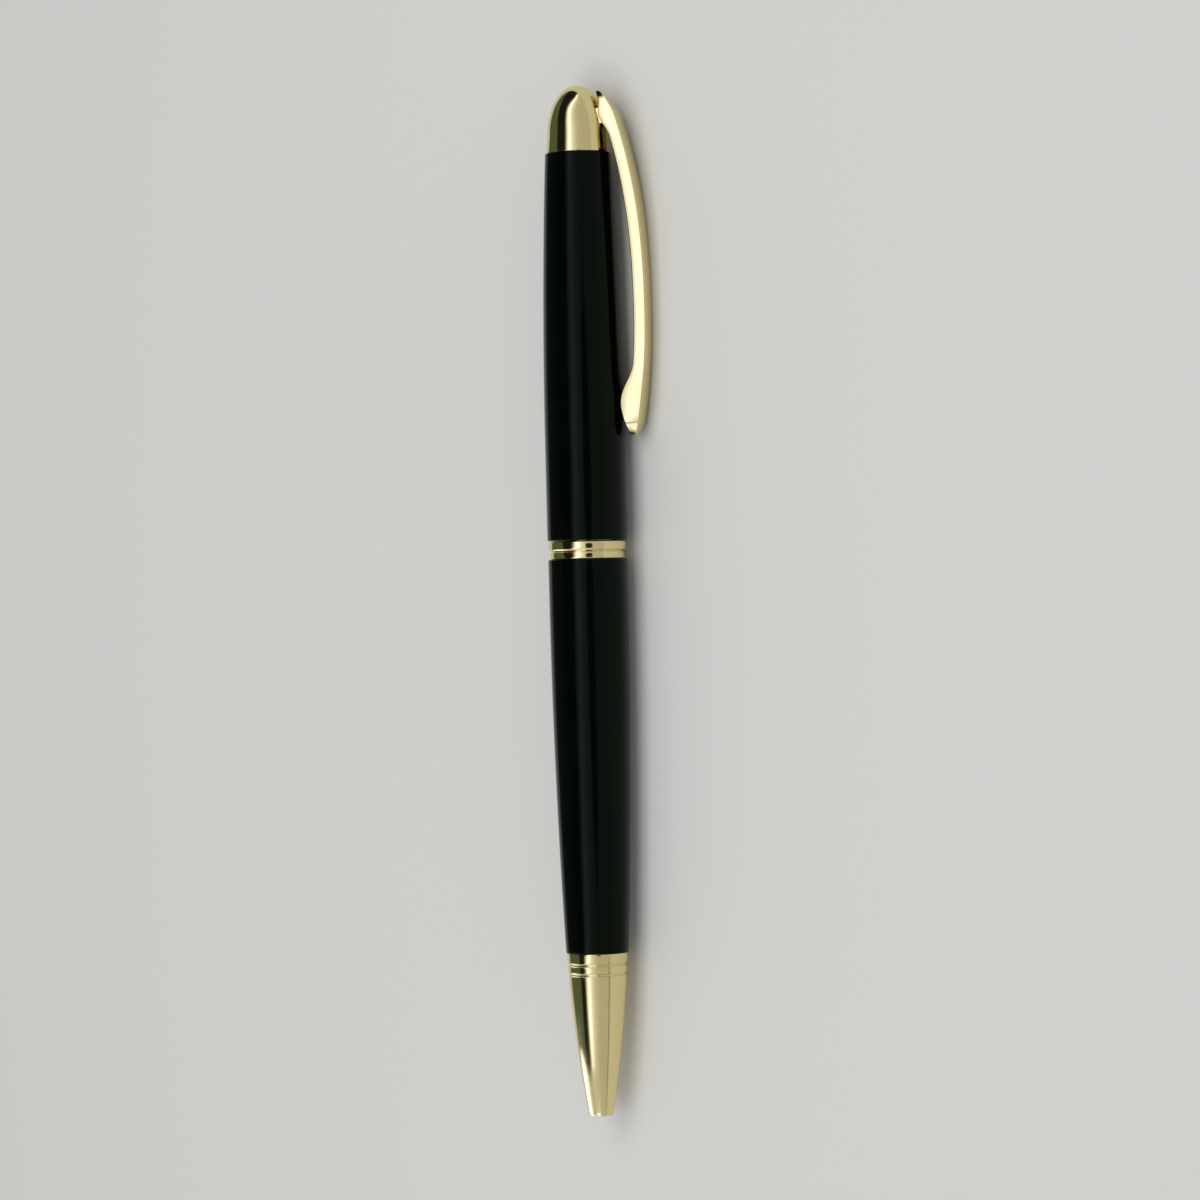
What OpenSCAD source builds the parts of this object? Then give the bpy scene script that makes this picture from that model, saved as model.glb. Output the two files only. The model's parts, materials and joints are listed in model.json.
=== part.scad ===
// Twist-action gel pen: two lacquered metal barrels, a beaded centre ring, a nose cone,
// a dome cap with a sprung clip, and the cam mechanism that pushes the refill out.
//
// Every module below is drawn upright: the pen's axis is Z, the dome is up, the clip is on the
// +X side, and height 0 is the plane where the two halves twist against each other.
// lay_down() then puts the pen in its own frame: the axis along Y with the point towards -Y,
// rolled so that it lies on its barrel and its clip, with the origin in the middle of the seat.

/* [Barrels] */
// Outer diameter of the straight seat, the widest part of the pen
seat_d = 10.2; // [10:0.1:10.6]
// Length of the straight seat above the twist plane
seat_len = 12.6; // [10:0.2:15]
// Length of the upper barrel
upper_len = 49.4; // [48.6:0.2:52]
// Outer diameter of the upper barrel under the dome
upper_end_d = 8.4; // [8.4:0.1:9]
// Length of the lower barrel
lower_len = 50.2; // [50:0.2:53]
// Outer diameter of the lower barrel under the centre ring
lower_top_d = 10.1; // [10:0.1:10.2]
// Outer diameter of the lower barrel above the nose cone
lower_end_d = 8; // [8:0.1:8.6]
// Wall of both barrels
barrel_wall = 0.6; // [0.5:0.05:0.6]

/* [Centre ring] */
// Height of the ring between the barrels
ring_len = 2.32; // [2:0.02:2.6]
// Diameter over the upper bead
upper_bead_d = 9.9; // [9.6:0.1:10]
// Diameter over the lower bead
lower_bead_d = 9.5; // [9.4:0.1:9.8]
// Running gap between the ring and the upper barrel
ring_gap = 0.08; // [0.05:0.01:0.1]

/* [Nose cone] */
// Length of the visible cone
nose_len = 20.8; // [20.6:0.1:22]
// Diameter of the flat tip
nose_tip_d = 3.1; // [3.1:0.1:3.4]
// Diameter where the cone meets the lower barrel
nose_top_d = 7.85; // [7.6:0.05:7.9]
// How far the cone bulges out from a straight taper, halfway along
nose_bulge = 0.33; // [0.3:0.01:0.4]

/* [Dome cap] */
// Height of the dome cap
dome_h = 8.7; // [8.5:0.1:9]
// Diameter of the dome cap at its foot
dome_foot_d = 8.1; // [8:0.05:8.3]
// Height of the nearly straight skirt under the dome
dome_skirt_h = 2.2; // [2:0.1:2.4]

/* [Clip] */
// Furthest reach of the clip's outer face from the pen's axis
clip_reach = 8.97; // [8.8:0.01:9.2]
// Length of the clip from its top point to its end
clip_len = 44.2; // [43:0.2:45]
// Thickness of the arm
clip_t = 1.7; // [1.5:0.05:1.8]
// Width of the arm near the top
clip_top_w = 3.9; // [3.6:0.1:4]
// Width of the arm at its middle
clip_mid_w = 3.3; // [3:0.1:3.5]
// How far the drop-shaped end swells in towards the barrel
lobe_h = 1.2; // [1:0.05:1.25]
// Roll of the pen on the table, from the clip level to the clip touching down
clip_roll = 24.1; // [20:0.1:26]

/* [Refill and mechanism] */
// Travel of the refill from retracted to extended
refill_travel = 4.5; // [4:0.1:4.8]
// Diameter of the refill tube
refill_d = 4.2; // [4:0.05:4.2]
// Diameter of the writing ball
ball_d = 0.7; // [0.5:0.1:0.8]

/* [Hidden] */
$fn = 72;

lacquer = "#0a0d0b";
gold = "#cdb87e";
steel = "#b9bcc0";
brass = "#b8923e";
white_plastic = "#e9e9e4";
clear_plastic = "#cfd8dc";
seal_black = "#1b1b1b";
ink_black = "#060608";
follower_green = "#c9d7b0";

eps = 0.01;                 // overrun of a cutter past the face it opens
seat_r = seat_d / 2;
taper_steps = 14;           // straight facets along a barrel's long curve

// Lower half, heights below the twist plane
lower_top_z = -ring_gap - ring_len;
lower_end_z = lower_top_z - lower_len;
nose_tip_z = lower_end_z - nose_len;
lower_straight = 3.6;       // straight stretch under the ring
lower_top_r = lower_top_d / 2;
lower_end_r = lower_end_d / 2;

// Upper half, heights above the twist plane
upper_end_r = upper_end_d / 2;
dome_top_z = upper_len + dome_h;

// Threaded inserts at the ends of the lower barrel
rear_insert_len = 9.6;
rear_insert_r = 4.45;
rear_thread_r = 3.8;
front_insert_len = 8;
front_insert_r = 3.5;
nose_thread_r = 3;
nose_thread_len = 6;

// Nose cone bores and trim grooves
nose_bore_r = 1.25;
nose_bore_len = 9.5;        // length of the narrow bore, up to the spring's seat
spring_bore_r = 2.35;
spring_seat_z = nose_tip_z + nose_bore_len;
nose_groove_depth = 0.12;
nose_groove_half = 0.16;
nose_groove_drops = [1.45, 2.7];   // below the barrel's end
nose_edge_r = 0.18;

// Beads of the centre ring
bead_fullness = 4;
bead_steps = 7;

// Mechanism, heights above the twist plane
housing_r = 3.3;
housing_bore_r = 2.7;
housing_len = 30;
housing_thread_len = 7.6;
cam_bore_r = 3.36;
cam_r = 4;
cam_z0 = 3;
cam_z1 = 28;
liner_z0 = 0.5;
liner_z1 = 26;
seal_z = 1.3;
seal_groove_r = 3.2;
seal_section_r = 0.38;
retainer_z0 = 28.1;
retainer_t = 0.6;
retainer_groove_r = 3.05;
retainer_r = 3.9;
retainer_mouth_deg = 70;

// Cross pin and the two slots that it runs in
pin_r = 0.6;
pin_z = 20;
pin_deg = 90;               // direction in which the pin points
pin_r0 = 0.6;
pin_r1 = 3.9;
slot_play = 0.05;
slot_end_play = 0.7;
twist_deg = 180;
cam_slot_half_deg = 28;
cam_deg_per_mm = twist_deg / refill_travel;

// Plunger
plunger_r = 2.65;
plunger_z0 = 6;
plunger_z1 = 24;
socket_depth = 6;
socket_play = 0.05;

// Refill, heights at rest (retracted)
refill_r = refill_d / 2;
refill_bore_r = refill_r - 0.5;
refill_recess = 1.2;        // how far the point stands back inside the nose
refill_point_z = nose_tip_z + refill_recess;
refill_rear_z = plunger_z0 + 5.8;
tip_r = 1.15;
tip_len = 12.85;
tip_end_r = 0.45;
tip_cone_len = 3;
tip_stem_r = 0.95;
tip_stem_len = 6;
ink_duct_r = 0.3;
neck_r = 1.45;
neck_z0 = refill_point_z + tip_len;
spring_len = 14;
neck_z1 = spring_seat_z + spring_len;
flange_t = 1;
holder_plug_len = 3.9;
end_flange_t = 1;
end_plug_len = 2;
vent_r = 0.3;
tube_z0 = neck_z1 + flange_t;
tube_z1 = refill_rear_z - end_flange_t;
ink_z0 = tube_z0 + holder_plug_len;
ink_len = 40;
follower_len = 2;
ball_r = ball_d / 2;
ball_play = 0.01;
ball_show = 0.2;            // how far the ball stands out of the tip
ball_z = refill_point_z + ball_r;

// Return spring
spring_wire_r = 0.2;
spring_coil_r = refill_r - spring_wire_r;
spring_turns = 9;
spring_end_gap = 0.02;
spring_steps = 16;          // rings per turn
spring_sides = 8;

// Dome cap, its stud and the insert under it
top_insert_r = 3.6;
top_insert_len = 8;
top_neck_r = 2.8;
top_neck_len = 2.6;
stud_r = 1.25;
stud_sink = 6;
stud_top_z = upper_len + 7;
dome_r = 3.85;              // radius where the skirt turns into the dome
dome_bore_r = 2.85;
dome_bore_z = upper_len + 5.4;
dome_steps = 18;

// Clip
clip_top_z = dome_top_z - 0.7;
clip_crest = 28.9;          // distance from the top point down to the furthest reach
clip_sweep = 0.00102;       // how fast the arm closes on the dome above the crest
clip_sweep_power = 2.5;
clip_tuck = 0.0064;         // how fast the outer face turns in below the crest
lobe_at = clip_len - 4.6;
lobe_half = 4.6;
lobe_extra_w = 0.3;
clip_edge_r = 0.15;
clip_top_round = 5.5;       // length over which the top comes to its point, seen face on
clip_tip_round = 3.4;       // length over which the outer face turns in at the top
clip_tip_power = 1.7;
clip_tip_r = 3.2;           // distance from the axis to the tip's outer edge
root_at = 3.6;              // distance from the top point down to the root's thickest place
root_half = 2.4;
root_extra_t = 0.6;
root_clear = 0.2;           // between the root's hollowed face and the dome
clip_end_round = 2.4;
clip_least = 0.14;          // share of its full size that the clip has at either end
clip_steps = 56;
clip_corner_steps = 5;
stub_z0 = upper_len + 3.55;
stub_h = 2;
stub_w = 3.2;
stub_r0 = 2.6;
stub_r1 = 4.7;
tongue_t = 1;
tongue_r = 2.4;
tongue_eye_r = 1.5;
slot_gap = 0.15;

// Puts the upright pen in its own frame
module lay_down() {
    rotate([0, clip_roll, 0])
        rotate([-90, 0, 0])
            translate([0, 0, -seat_len / 2])
                children();
}

// A cylinder between two heights
module rod(r, z0, z1) {
    translate([0, 0, z0])
        cylinder(r = r, h = z1 - z0);
}

// A tube between two heights
module tube(r, bore_r, z0, z1) {
    difference() {
        rod(r, z0, z1);
        rod(bore_r, z0 - eps, z1 + eps);
    }
}

// Outer radius of each barrel at a height: straight, then a long gentle curve
function upper_r(z) =
    z <= seat_len
        ? seat_r
        : seat_r - (seat_r - upper_end_r) * pow((z - seat_len) / (upper_len - seat_len), 2);

function lower_r(z) =
    z >= lower_top_z - lower_straight
        ? lower_top_r
        : lower_top_r - (lower_top_r - lower_end_r)
            * pow((lower_top_z - lower_straight - z) / (lower_len - lower_straight), 2);

// Heights at even steps between two heights
function steps(z0, z1, n) = [for (i = [0 : n]) z0 + (z1 - z0) * i / n];

// ---- Lower half ----

// Radius of the nose cone's outside at a distance from its tip
function nose_r(s) =
    nose_tip_d / 2
        + (nose_top_d - nose_tip_d) / 2 * s / nose_len
        + 4 * nose_bulge * (s / nose_len) * (1 - s / nose_len);

module nose_outline() {
    polygon(concat(
        [[0, 0], [nose_r(0) - nose_edge_r, 0]],
        [for (a = [30 : 30 : 60])
            [nose_r(0) - nose_edge_r * (1 - sin(a)), nose_edge_r * (1 - cos(a))]],
        [for (s = steps(nose_edge_r, nose_len, taper_steps)) [nose_r(s), s]],
        [[nose_thread_r, nose_len],
         [nose_thread_r, nose_len + nose_thread_len],
         [0, nose_len + nose_thread_len]]
    ));
}

// A groove cut round the outside at a height
module ring_groove(r, depth, half) {
    difference() {
        translate([0, 0, -half])
            cylinder(r = r + 1, h = 2 * half);
        translate([0, 0, -half - eps])
            cylinder(r = r - depth, h = 2 * half + 2 * eps);
    }
}

module nose_cone() {
    color(gold)
        lay_down()
            translate([0, 0, nose_tip_z])
                difference() {
                    rotate_extrude()
                        nose_outline();
                    rod(nose_bore_r, -eps, nose_bore_len + eps);
                    rod(spring_bore_r, nose_bore_len, nose_len + nose_thread_len + eps);
                    for (drop = nose_groove_drops)
                        translate([0, 0, nose_len - drop])
                            ring_groove(nose_r(nose_len - drop), nose_groove_depth, nose_groove_half);
                }
}

// Pressed into the lower barrel, threaded inside for the nose cone
module front_insert() {
    color(brass)
        lay_down()
            tube(front_insert_r, nose_thread_r, lower_end_z, lower_end_z + front_insert_len);
}

module lower_barrel() {
    insert_z = lower_end_z + front_insert_len;
    shoulder_z = lower_top_z - rear_insert_len;
    color(lacquer)
        lay_down()
            rotate_extrude()
                polygon(concat(
                    [[front_insert_r, lower_end_z]],
                    [for (z = steps(lower_end_z, lower_top_z - lower_straight, taper_steps))
                        [lower_r(z), z]],
                    [[lower_top_r, lower_top_z],
                     [rear_insert_r, lower_top_z],
                     [rear_insert_r, shoulder_z]],
                    [for (z = steps(shoulder_z, insert_z, taper_steps))
                        [lower_r(z) - barrel_wall, z]],
                    [[front_insert_r, insert_z]]
                ));
}

// Pressed into the lower barrel, threaded inside for the mechanism
module rear_insert() {
    color(brass)
        lay_down()
            tube(rear_insert_r, rear_thread_r, lower_top_z - rear_insert_len, lower_top_z);
}

// Rounded bead between two heights, flatter on top than a half ellipse
function bead(z0, z1, foot_r, crest_r) =
    [for (i = [-bead_steps : bead_steps])
        let (x = sin(90 * i / bead_steps))
        [foot_r + (crest_r - foot_r) * pow(1 - pow(abs(x), bead_fullness), 1 / bead_fullness),
            (z0 + z1 + (z1 - z0) * x) / 2]];

module centre_ring() {
    foot_r = 4.55;
    split_z = lower_top_z + 0.44 * ring_len;
    groove_half = 0.06;
    color(gold)
        lay_down()
            rotate_extrude()
                polygon(concat(
                    [[rear_thread_r, lower_top_z]],
                    bead(lower_top_z, split_z - groove_half, foot_r, lower_bead_d / 2),
                    bead(split_z + groove_half, -ring_gap, foot_r, upper_bead_d / 2),
                    [[rear_thread_r, -ring_gap]]
                ));
}

// Screws into the lower barrel, carries the ring and guides the plunger
module twist_housing() {
    slot_half = pin_r + slot_play;
    color(brass)
        lay_down()
            difference() {
                union() {
                    rod(rear_thread_r, lower_top_z - housing_thread_len, -ring_gap);
                    rod(housing_r, -ring_gap - eps, housing_len);
                }
                rod(housing_bore_r, lower_top_z - housing_thread_len - eps, housing_len + eps);
                translate([0, 0, seal_z])
                    ring_groove(housing_r, housing_r - seal_groove_r, seal_section_r);
                translate([0, 0, retainer_z0 + retainer_t / 2])
                    ring_groove(housing_r, housing_r - retainer_groove_r, retainer_t / 2);
                rotate([0, 0, pin_deg])
                    translate([housing_bore_r - 1, -slot_half, pin_z - refill_travel - slot_end_play])
                        cube([2, 2 * slot_half, refill_travel + 2 * slot_end_play]);
            }
}

// Rubber ring that gives the twist its drag
module friction_ring() {
    color(seal_black)
        lay_down()
            translate([0, 0, seal_z])
                rotate_extrude()
                    translate([seal_groove_r + seal_section_r, 0])
                        circle(r = seal_section_r);
}

// Open spring-steel ring that keeps the cam sleeve on the housing
module cam_retainer() {
    mid = (retainer_groove_r + retainer_r) / 2;
    mouth = 2 * mid * sin(retainer_mouth_deg / 2);
    color(steel)
        lay_down()
            difference() {
                tube(retainer_r, retainer_groove_r, retainer_z0, retainer_z0 + retainer_t);
                rotate([0, 0, -90])
                    translate([0, -mouth / 2, retainer_z0 - 1])
                        cube([retainer_r + 1, mouth, retainer_t + 2]);
            }
}

// Height of the spring's wire centre above its seat: closed end coils, open coils between
function spring_height(turn) =
    let (rise = 2 * spring_wire_r + spring_end_gap)
    let (body = spring_len - 2 * spring_wire_r - 2 * spring_end_gap - 2 * rise)
    spring_wire_r + spring_end_gap + (
        turn < 1 ? rise * turn
        : turn > spring_turns - 1 ? rise + body + rise * (turn - spring_turns + 1)
        : rise + body * (turn - 1) / (spring_turns - 2)
    );

module return_spring() {
    rings = spring_turns * spring_steps;
    points = [
        for (i = [0 : rings])
            for (j = [0 : spring_sides - 1])
                let (around = 360 * i / spring_steps)
                let (side = 360 * j / spring_sides)
                let (r = spring_coil_r + spring_wire_r * cos(side))
                [r * cos(around), r * sin(around),
                 spring_seat_z + spring_height(i / spring_steps) + spring_wire_r * sin(side)]
    ];
    skin = [
        for (i = [0 : rings - 1])
            for (j = [0 : spring_sides - 1])
                let (k = (j + 1) % spring_sides)
                [i * spring_sides + j, i * spring_sides + k,
                 (i + 1) * spring_sides + k, (i + 1) * spring_sides + j]
    ];
    start_cap = [for (j = [spring_sides - 1 : -1 : 0]) j];
    end_cap = [for (j = [0 : spring_sides - 1]) rings * spring_sides + j];
    color(steel)
        lay_down()
            polyhedron(points, concat([start_cap, end_cap], skin));
}

// ---- Upper half ----

module upper_barrel() {
    insert_z = upper_len - top_insert_len;
    color(lacquer)
        lay_down()
            rotate_extrude()
                polygon(concat(
                    [[seat_r - barrel_wall, 0], [seat_r, 0]],
                    [for (z = steps(seat_len, upper_len, taper_steps)) [upper_r(z), z]],
                    [[top_insert_r, upper_len], [top_insert_r, insert_z]],
                    [for (z = steps(insert_z, liner_z1, taper_steps))
                        [upper_r(z) - barrel_wall, z]],
                    [[seat_r - barrel_wall, liner_z1]]
                ));
}

// Tube that the cam sleeve is pressed into
module barrel_liner() {
    color(brass)
        lay_down()
            tube(seat_r - barrel_wall, cam_r, liner_z0, liner_z1);
}

// Turns round the housing; its helical slot drives the cross pin along the straight one
module cam_sleeve() {
    slot_z = pin_z - refill_travel - slot_end_play;
    slot_h = refill_travel + 2 * slot_end_play;
    over_deg = slot_end_play * cam_deg_per_mm;
    inner = cam_bore_r - 0.3;
    outer = cam_r + 1;
    color(white_plastic)
        lay_down()
            difference() {
                tube(cam_r, cam_bore_r, cam_z0, cam_z1);
                translate([0, 0, slot_z])
                    rotate([0, 0, pin_deg + twist_deg + over_deg])
                        linear_extrude(height = slot_h, twist = slot_h * cam_deg_per_mm, slices = 36)
                            polygon(concat(
                                [for (a = [-1, 0, 1]) inner * direction(a * cam_slot_half_deg)],
                                [for (a = [1, 0, -1]) outer * direction(a * cam_slot_half_deg)]
                            ));
            }
}

function direction(a) = [cos(a), sin(a)];

// Pressed into the top of the upper barrel; its neck centres the dome cap
module top_insert() {
    color(brass)
        lay_down()
            difference() {
                union() {
                    rod(top_insert_r, upper_len - top_insert_len, upper_len);
                    rod(top_neck_r, upper_len - eps, upper_len + top_neck_len);
                }
                rod(stud_r, upper_len - top_insert_len - eps, upper_len + top_neck_len + eps);
            }
}

// Threaded rod that draws the dome cap down
module cap_stud() {
    color(steel)
        lay_down()
            rod(stud_r, upper_len - stud_sink, stud_top_z);
}

module dome_outline() {
    skirt_top = upper_len + dome_skirt_h;
    rise = dome_h - dome_skirt_h;
    polygon(concat(
        [[0, upper_len], [dome_foot_d / 2, upper_len]],
        [for (i = [0 : dome_steps])
            let (a = 90 * i / dome_steps)
            [dome_r * cos(a), skirt_top + rise * sin(a)]]
    ));
}

module dome_cap() {
    color(gold)
        lay_down()
            difference() {
                rotate_extrude()
                    dome_outline();
                rod(dome_bore_r, upper_len - eps, dome_bore_z);
                rod(stud_r, dome_bore_z - eps, stud_top_z + 0.2);
                translate([dome_bore_r - 0.6, -stub_w / 2 - slot_gap, stub_z0 - slot_gap])
                    cube([3, stub_w + 2 * slot_gap, stub_h + 2 * slot_gap]);
            }
}

// ---- Clip ----

// Quarter-round fade from 1 down to clip_least over a length at one end
function end_fade(distance, over) =
    distance >= over
        ? 1
        : clip_least + (1 - clip_least) * sqrt(1 - pow(1 - distance / over, 2));

function blend(a, b, t) =
    let (u = max(0, min(1, t)))
    a + (b - a) * u * u * (3 - 2 * u);

// Outer face, as a distance from the axis, at a distance down from the clip's top point
function clip_outer(s) =
    s < clip_crest
        ? clip_reach - clip_sweep * pow(clip_crest - s, clip_sweep_power)
        : clip_reach - clip_tuck * pow(s - clip_crest, 2);

// Smooth hump, 1 high at one place and 0 from half its length away
function hump(s, at, half) =
    abs(s - at) < half ? pow(cos(90 * (s - at) / half), 2) : 0;

function lobe(s) = hump(s, lobe_at, lobe_half);

// How far the outer face has turned in at the top, which leaves the tip at its inner edge
function tip_drop(s) =
    s >= clip_tip_round
        ? 0
        : (clip_outer(0) - clip_tip_r) * pow(1 - s / clip_tip_round, clip_tip_power);

function clip_thickness(s) =
    (clip_t - tip_drop(s) + root_extra_t * hump(s, root_at, root_half) + lobe_h * lobe(s))
        * end_fade(clip_len - s, clip_end_round);

function clip_width(s) =
    (blend(clip_top_w, clip_mid_w, (s - 8) / 20) + lobe_extra_w * lobe(s))
        * end_fade(s, clip_top_round) * end_fade(clip_len - s, clip_end_round);

// Rounded rectangle, centred, as points in order
function rounded_section(t, w) =
    let (r = min(clip_edge_r, 0.45 * min(t, w)))
    [for (q = [0 : 3])
        for (i = [0 : clip_corner_steps])
            let (a = 90 * q + 90 * i / clip_corner_steps)
            let (sx = (q == 0 || q == 3) ? 1 : -1)
            let (sy = q < 2 ? 1 : -1)
            [sx * (t / 2 - r) + r * cos(a), sy * (w / 2 - r) + r * sin(a)]];

module clip_arm() {
    sides = 4 * (clip_corner_steps + 1);
    points = [
        for (i = [0 : clip_steps])
            let (s = clip_len * (1 - cos(180 * i / clip_steps)) / 2)
            let (t = clip_thickness(s))
            let (end_lift = 0.5 * (clip_t + lobe_h * lobe(s)) * (1 - end_fade(clip_len - s, clip_end_round)))
            for (p = rounded_section(t, clip_width(s)))
                [clip_outer(s) - tip_drop(s) - t / 2 - end_lift + p[0], p[1], clip_top_z - s]
    ];
    skin = [
        for (i = [0 : clip_steps - 1])
            for (j = [0 : sides - 1])
                let (k = (j + 1) % sides)
                [i * sides + j, i * sides + k, (i + 1) * sides + k, (i + 1) * sides + j]
    ];
    top_cap = [for (j = [sides - 1 : -1 : 0]) j];
    end_cap = [for (j = [0 : sides - 1]) clip_steps * sides + j];
    polyhedron(points, concat([top_cap, end_cap], skin));
}

// The stub passes through the dome's wall; the tongue's eye goes round the stud inside it
module clip_root() {
    mid_z = stub_z0 + stub_h / 2;
    difference() {
        union() {
            translate([stub_r0, -stub_w / 2, stub_z0])
                cube([stub_r1 - stub_r0, stub_w, stub_h]);
            rod(tongue_r, mid_z - tongue_t / 2, mid_z + tongue_t / 2);
            translate([0, -stub_w / 2, mid_z - tongue_t / 2])
                cube([stub_r0 + eps, stub_w, tongue_t]);
        }
        rod(tongue_eye_r, mid_z - tongue_t, mid_z + tongue_t);
    }
}

// The dome and the gap that the clip's root keeps from it
module dome_clearance() {
    rotate_extrude()
        intersection() {
            offset(delta = root_clear)
                dome_outline();
            translate([0, upper_len - root_clear])
                square([dome_foot_d, 2 * dome_h]);
        }
}

module clip() {
    color(gold)
        lay_down()
            union() {
                difference() {
                    clip_arm();
                    dome_clearance();
                }
                clip_root();
            }
}

// ---- Refill and plunger ----

module plunger() {
    color(white_plastic)
        lay_down()
            difference() {
                rod(plunger_r, plunger_z0, plunger_z1);
                rod(refill_r + socket_play, plunger_z0 - eps, plunger_z0 + socket_depth);
                rotate([0, 0, pin_deg])
                    translate([pin_r0, 0, pin_z])
                        rotate([0, 90, 0])
                            cylinder(r = pin_r, h = plunger_r);
            }
}

module cross_pin() {
    color(steel)
        lay_down()
            rotate([0, 0, pin_deg])
                translate([pin_r0, 0, pin_z])
                    rotate([0, 90, 0])
                        cylinder(r = pin_r, h = pin_r1 - pin_r0);
}

module refill_end_plug() {
    color(white_plastic)
        lay_down()
            difference() {
                union() {
                    rod(refill_r, tube_z1, refill_rear_z);
                    rod(refill_bore_r, tube_z1 - end_plug_len, tube_z1 + eps);
                }
                rod(vent_r, tube_z1 - end_plug_len - eps, refill_rear_z + eps);
            }
}

module refill_tube() {
    color(clear_plastic)
        lay_down()
            tube(refill_r, refill_bore_r, tube_z0, tube_z1);
}

module ink_follower() {
    color(follower_green)
        lay_down()
            rod(refill_bore_r, ink_z0 + ink_len, ink_z0 + ink_len + follower_len);
}

module gel_ink() {
    color(ink_black)
        lay_down()
            rod(refill_bore_r, ink_z0, ink_z0 + ink_len);
}

module tip_holder() {
    color(white_plastic)
        lay_down()
            difference() {
                union() {
                    rod(neck_r, neck_z0, neck_z1 + eps);
                    rod(refill_r, neck_z1, tube_z0);
                    rod(refill_bore_r, tube_z0 - eps, ink_z0);
                }
                rod(tip_stem_r, neck_z0 - eps, neck_z0 + tip_stem_len);
                rod(ink_duct_r, neck_z0, ink_z0 + eps);
            }
}

module refill_tip() {
    cone_z = refill_point_z + ball_show;
    color(steel)
        lay_down()
            difference() {
                rotate_extrude()
                    polygon([
                        [0, cone_z],
                        [tip_end_r, cone_z],
                        [tip_r, cone_z + tip_cone_len],
                        [tip_r, neck_z0],
                        [tip_stem_r, neck_z0],
                        [tip_stem_r, neck_z0 + tip_stem_len],
                        [0, neck_z0 + tip_stem_len]
                    ]);
                translate([0, 0, ball_z])
                    sphere(r = ball_r + ball_play);
                rod(ink_duct_r, ball_z, neck_z0 + tip_stem_len + eps);
            }
}

module writing_ball() {
    color(steel)
        lay_down()
            translate([0, 0, ball_z])
                sphere(r = ball_r);
}

nose_cone();
front_insert();
lower_barrel();
rear_insert();
centre_ring();
twist_housing();
friction_ring();
cam_retainer();
return_spring();
upper_barrel();
barrel_liner();
cam_sleeve();
top_insert();
cap_stud();
dome_cap();
clip();
plunger();
cross_pin();
refill_end_plug();
refill_tube();
ink_follower();
gel_ink();
tip_holder();
refill_tip();
writing_ball();
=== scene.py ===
"""Looks of a twist-action gel pen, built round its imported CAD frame.

The pen lies along Y with its point towards -Y, on its barrel and its clip. Shapes are drawn in
millimetres as (radius, height) outlines, where height 0 is the plane in which the two halves
twist against each other, and become metres when a mesh is made.
"""

import json
from math import asin, atan2, cos, degrees, hypot, pi, radians, sin, sqrt

import bmesh
import bpy
from mathutils import Matrix, Vector


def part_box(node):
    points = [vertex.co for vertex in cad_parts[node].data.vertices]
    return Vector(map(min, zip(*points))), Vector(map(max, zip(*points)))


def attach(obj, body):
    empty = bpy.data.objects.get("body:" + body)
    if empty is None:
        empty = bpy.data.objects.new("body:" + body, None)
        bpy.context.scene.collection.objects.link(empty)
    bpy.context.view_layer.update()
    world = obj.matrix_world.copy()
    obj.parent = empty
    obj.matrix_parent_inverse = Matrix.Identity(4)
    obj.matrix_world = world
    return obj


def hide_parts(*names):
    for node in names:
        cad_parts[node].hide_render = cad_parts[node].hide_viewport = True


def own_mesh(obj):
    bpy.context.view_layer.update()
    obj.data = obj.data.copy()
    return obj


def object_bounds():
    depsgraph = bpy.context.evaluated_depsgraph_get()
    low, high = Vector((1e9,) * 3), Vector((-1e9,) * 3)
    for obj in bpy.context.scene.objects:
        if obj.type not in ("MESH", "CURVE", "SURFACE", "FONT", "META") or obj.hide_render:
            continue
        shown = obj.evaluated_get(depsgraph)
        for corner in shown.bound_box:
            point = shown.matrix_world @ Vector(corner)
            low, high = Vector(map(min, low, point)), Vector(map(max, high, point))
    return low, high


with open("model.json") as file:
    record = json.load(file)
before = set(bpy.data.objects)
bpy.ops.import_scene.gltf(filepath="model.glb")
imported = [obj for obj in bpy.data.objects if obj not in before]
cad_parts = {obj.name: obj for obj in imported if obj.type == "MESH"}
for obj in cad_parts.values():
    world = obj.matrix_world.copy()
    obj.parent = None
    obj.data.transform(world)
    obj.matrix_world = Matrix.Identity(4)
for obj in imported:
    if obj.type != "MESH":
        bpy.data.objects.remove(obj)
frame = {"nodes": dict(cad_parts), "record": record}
bpy.context.view_layer.update()
cad_low, cad_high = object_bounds()

MM = 0.001
TURNED_SIDES = 160          # faces round a turned piece
SMALL_SIDES = 64            # faces round the smallest turned pieces
FILLET_STEPS = 6            # faces across a rounded edge
SHARP = radians(32)         # edges steeper than this are shaded sharp
ON_AXIS = 1e-6              # mm from the axis within which a point lies on it
WELD = 2e-6                 # metres between points that become one after a boolean

record = frame["record"]
joints = {joint["name"]: joint for joint in record["behaviour"]["joints"]}
TWIST_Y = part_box("upper_barrel")[0].y


# ---- Measuring the frame ----

def height(y):
    """Height above the twist plane, in mm, of a place along Y in metres."""
    return (y - TWIST_Y) / MM


def place(radius, angle, level):
    """A point in the frame, from a radius and a height in mm and an angle round the axis."""
    return Vector((radius * MM * cos(angle), TWIST_Y + level * MM, radius * MM * sin(angle)))


def span(node):
    """Lowest and highest height of a CAD node, in mm."""
    low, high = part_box(node)
    return height(low.y), height(high.y)


def reach(node, low, high):
    """Largest radius of a CAD node's points between two heights, in mm."""
    points = (v.co for v in frame["nodes"][node].data.vertices)
    return max(hypot(p.x, p.z) / MM for p in points if low <= height(p.y) <= high)


# ---- Outlines, as lists of (radius, height) or (radius, height, fillet) in mm ----

def line_up(start, end, count):
    """Evenly spaced numbers from start to end, in a given count of steps."""
    return [start + (end - start) * i / count for i in range(count + 1)]


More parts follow.
